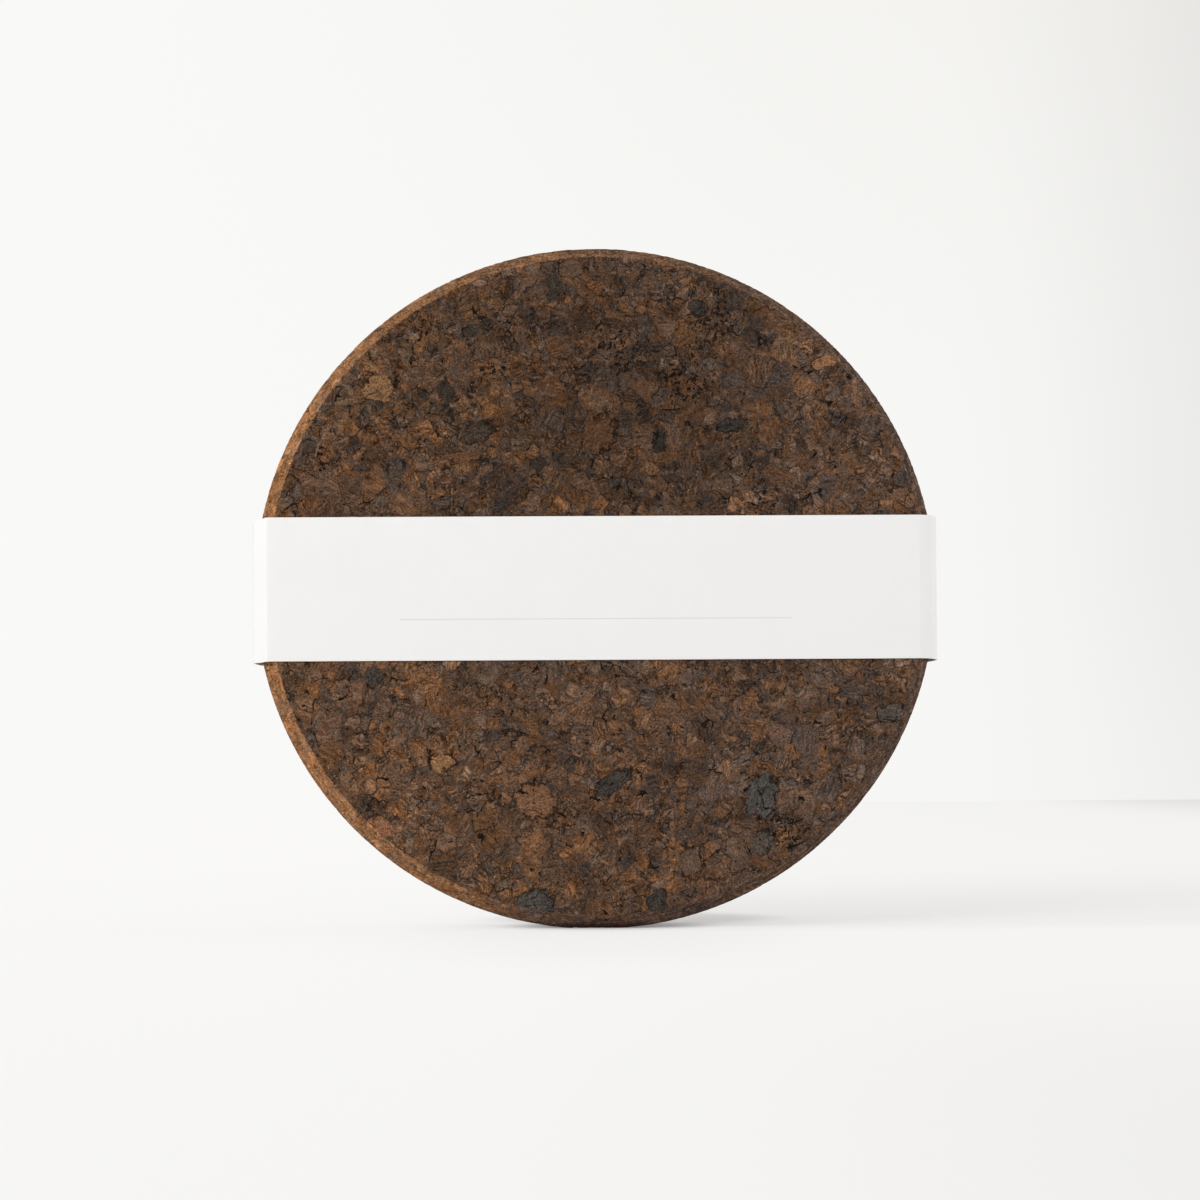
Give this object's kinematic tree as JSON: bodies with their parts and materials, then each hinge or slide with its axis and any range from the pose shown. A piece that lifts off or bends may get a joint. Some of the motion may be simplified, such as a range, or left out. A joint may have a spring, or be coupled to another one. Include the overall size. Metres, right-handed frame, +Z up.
{
  "type": "trivet",
  "caption": "Round cork trivet with eased rims, standing on its rim, with a bare paper sleeve round its middle that slides off.",
  "frame": {"origin": "on the surface that the trivet stands on, under the middle of the disc", "axes": "+Y is the disc's axis and points to its back, +Z is up, and the front face looks towards -Y"},
  "size_m": [0.1508, 0.0261, 0.1498],
  "materials": {
    "cork": "matte",
    "paper": "matte",
    "adhesive": "matte"
  },
  "bodies": {
    "disc": {"cork_disc": "cork"},
    "band": {"paper_band": "paper", "adhesive_strip": "adhesive"}
  },
  "joints": [
    {"name": "band_slide", "type": "slide", "parent": "disc", "child": "band", "axis": [0, 0, 1], "range_m": [-0.058, 0.1]}
  ]
}
